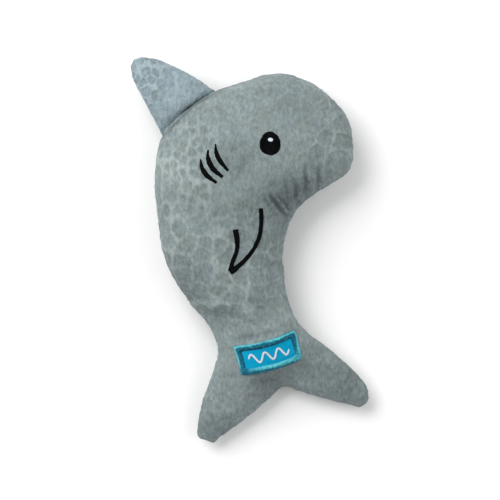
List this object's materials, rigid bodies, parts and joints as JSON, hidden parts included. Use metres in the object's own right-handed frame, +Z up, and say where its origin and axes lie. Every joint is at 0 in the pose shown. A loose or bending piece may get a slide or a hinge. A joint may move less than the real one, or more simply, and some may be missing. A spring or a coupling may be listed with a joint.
{
  "type": "plush shark",
  "caption": "Stuffed plush shark lying on its side, with a swinging tail, a floppy dorsal fin, stitched features, a tail label and a squeaker inside.",
  "frame": {"origin": "middle of the outline's box, on the surface that the toy lies on", "axes": "+Z up through the toy from its left side to its right, +Y from the tail to the head, +X from the back to the belly"},
  "size_m": [0.1554, 0.25, 0.0479],
  "materials": {
    "grey_fleece": "short embossed pile",
    "fin_fleece": "short embossed pile",
    "fibre_stuffing": "loose fibre",
    "black_stitching": "satin stitch",
    "white_stitching": "satin stitch",
    "blue_weave": "woven",
    "cyan_stitching": "satin stitch",
    "grey_thread": "twisted thread",
    "squeaker_plastic": "moulded",
    "whistle_plastic": "moulded"
  },
  "bodies": {
    "torso": {"torso_panel_right": "grey_fleece", "torso_panel_left": "grey_fleece", "torso_seam_thread": "grey_thread", "head_stuffing": "fibre_stuffing", "belly_stuffing_right": "fibre_stuffing", "belly_stuffing_left": "fibre_stuffing", "eye_stitch_right": "black_stitching", "eye_stitch_left": "black_stitching", "eye_glint_right": "white_stitching", "eye_glint_left": "white_stitching", "gill_stitch_front_right": "black_stitching", "gill_stitch_middle_right": "black_stitching", "gill_stitch_rear_right": "black_stitching", "gill_stitch_front_left": "black_stitching", "gill_stitch_middle_left": "black_stitching", "gill_stitch_rear_left": "black_stitching", "pectoral_stitch_right": "black_stitching", "pectoral_stitch_left": "black_stitching", "fin_joining_thread": "grey_thread", "squeaker_cup": "squeaker_plastic", "squeaker_whistle": "whistle_plastic", "squeaker_reed": "whistle_plastic"},
    "tail": {"tail_panel_right": "grey_fleece", "tail_panel_left": "grey_fleece", "tail_seam_thread": "grey_thread", "tail_stuffing": "fibre_stuffing", "label_patch": "blue_weave", "label_border": "cyan_stitching", "label_wave": "white_stitching"},
    "dorsal_fin": {"fin_panel_right": "fin_fleece", "fin_panel_left": "fin_fleece", "fin_stuffing": "fibre_stuffing", "fin_seam_thread": "grey_thread"},
    "squeaker_bellows": {"squeaker_dome": "squeaker_plastic"}
  },
  "joints": [
    {"name": "tail_swing", "type": "hinge", "parent": "torso", "child": "tail", "pos_m": [-0.001, -0.0423, 0.018], "axis": [0, 0, 1], "range_deg": [-18, 18], "stiffness_Nm_per_rad": 0.15},
    {"name": "fin_flop", "type": "hinge", "parent": "torso", "child": "dorsal_fin", "pos_m": [-0.0402, 0.09, 0.0224], "axis": [0.7772, 0.6292, 0], "range_deg": [-20, 35], "stiffness_Nm_per_rad": 0.05},
    {"name": "squeaker_press", "type": "slide", "parent": "torso", "child": "squeaker_bellows", "axis": [0, 0, -1], "range_m": [0, 0.005], "stiffness_N_per_m": 400}
  ]
}
